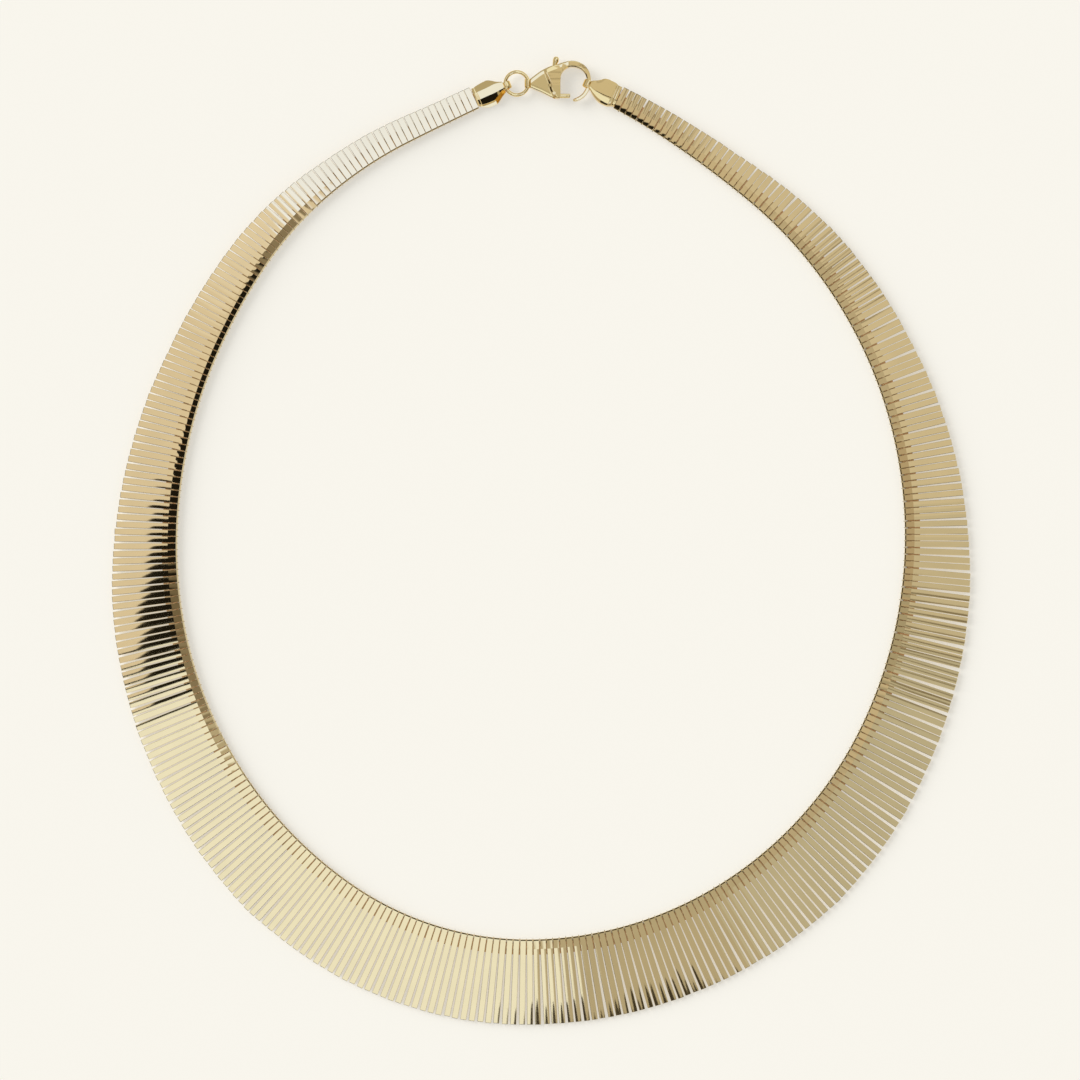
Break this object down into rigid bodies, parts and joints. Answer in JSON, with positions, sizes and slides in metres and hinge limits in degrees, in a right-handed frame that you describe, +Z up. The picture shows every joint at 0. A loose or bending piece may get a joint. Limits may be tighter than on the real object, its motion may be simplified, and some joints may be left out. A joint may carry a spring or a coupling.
{
  "type": "graduated collar necklace",
  "caption": "Flat collar necklace of narrow folded gold bars that grow longer from the clasp to the front, with tapered end caps, a jump ring and a lobster clasp.",
  "frame": {"origin": "middle of the necklace's outline, on the surface that it lies on", "axes": "+Z up from the surface, +Y towards the clasp, so that the longest bars are at -Y, and +X to the right seen from above with the clasp away from the viewer"},
  "size_m": [0.158, 0.1782, 0.0026],
  "materials": {
    "bar_gold": "polished pale yellow gold, flat bar faces",
    "core_gold": "satin gold, deeper in tone",
    "cap_gold": "polished gold, bright edges",
    "clasp_gold": "polished gold"
  },
  "bodies": {
    "necklace": {"bars_right": "bar_gold", "bars_left": "bar_gold", "core_strip": "core_gold", "cap_right": "cap_gold", "cap_left": "cap_gold", "jump_ring": "clasp_gold", "clasp_body": "clasp_gold", "clasp_pin": "clasp_gold"},
    "lever": {"clasp_lever": "clasp_gold"}
  },
  "joints": [
    {"name": "lever_hinge", "type": "hinge", "parent": "necklace", "child": "lever", "pos_m": [0.0024, 0.08216, 0.0013], "axis": [0, 0, 1], "range_deg": [0, 26], "stiffness_Nm_per_rad": 0.00005, "springref_deg": -5.73}
  ]
}
